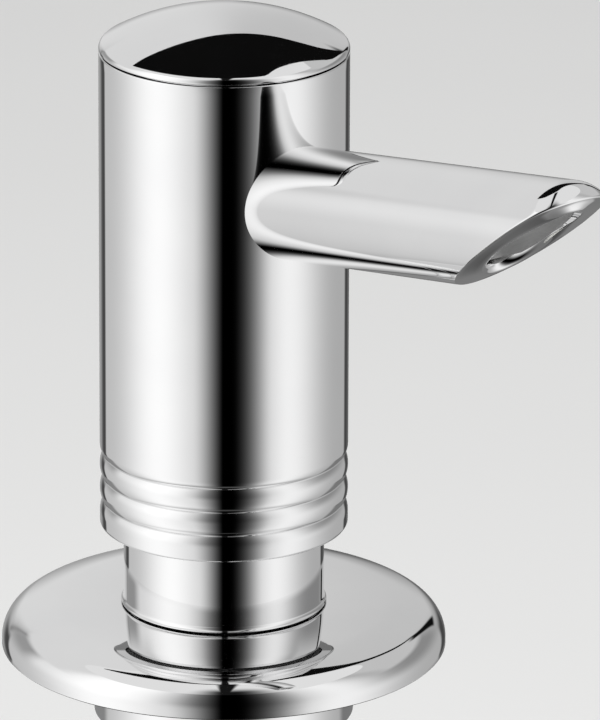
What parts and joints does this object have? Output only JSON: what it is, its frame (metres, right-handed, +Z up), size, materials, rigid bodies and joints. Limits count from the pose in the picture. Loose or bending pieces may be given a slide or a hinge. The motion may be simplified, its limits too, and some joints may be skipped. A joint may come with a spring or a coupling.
{
  "type": "deck-mounted soap dispenser",
  "caption": "Deck-mounted liquid soap dispenser: press-down chrome head with beaded foot and angled spout, round base flange, clamping nut and a soap bottle below the deck.",
  "frame": {"origin": "on the deck, in the centre of the flange's underside, on the axis of the deck hole", "axes": "+Z up along the pump's axis, +X along the spout at rest"},
  "size_m": [0.1066, 0.068, 0.2695],
  "materials": {
    "chrome": "mirror-bright plating",
    "rubber": "matte black",
    "brass": "turned",
    "steel": "bright",
    "black_plastic": "moulded, satin",
    "bottle_plastic": "translucent, natural",
    "white_plastic": "moulded, satin",
    "grey_plastic": "moulded, satin",
    "clear_plastic": "translucent",
    "insert_plastic": "moulded, satin"
  },
  "bodies": {
    "base": {"base_flange": "chrome", "flange_gasket": "rubber", "threaded_shank": "brass", "rubber_washer": "rubber", "metal_washer": "steel", "clamping_nut": "black_plastic", "soap_bottle": "bottle_plastic", "bottle_seal": "rubber", "pump_collar": "chrome", "collar_seal_ring": "rubber", "neck_gasket": "rubber", "neck_sleeve": "chrome", "pump_cylinder": "white_plastic", "cylinder_cap": "white_plastic", "stem_seal": "rubber", "valve_cage": "white_plastic", "dip_tube": "clear_plastic", "return_spring": "steel"},
    "plunger": {"piston": "grey_plastic", "piston_stem": "white_plastic"},
    "head": {"head_shell": "chrome", "head_cap": "chrome", "head_core": "black_plastic", "guide_bush": "black_plastic", "spout": "chrome", "feed_tube": "clear_plastic", "outlet_insert": "insert_plastic"},
    "inlet_valve": {"inlet_ball": "steel"},
    "outlet_valve": {"outlet_ball": "steel"}
  },
  "joints": [
    {"name": "press", "type": "slide", "parent": "base", "child": "plunger", "axis": [0, 0, -1], "range_m": [0, 0.009], "stiffness_N_per_m": 900, "springref_m": -0.006, "deforming": ["return_spring"]},
    {"name": "swivel", "type": "hinge", "parent": "plunger", "child": "head", "pos_m": [0, 0, 0.045], "axis": [0, 0, 1], "continuous": true},
    {"name": "inlet_lift", "type": "slide", "parent": "base", "child": "inlet_valve", "axis": [0, 0, 1], "range_m": [0, 0.001]},
    {"name": "outlet_lift", "type": "slide", "parent": "plunger", "child": "outlet_valve", "axis": [0, 0, 1], "range_m": [0, 0.001]}
  ]
}
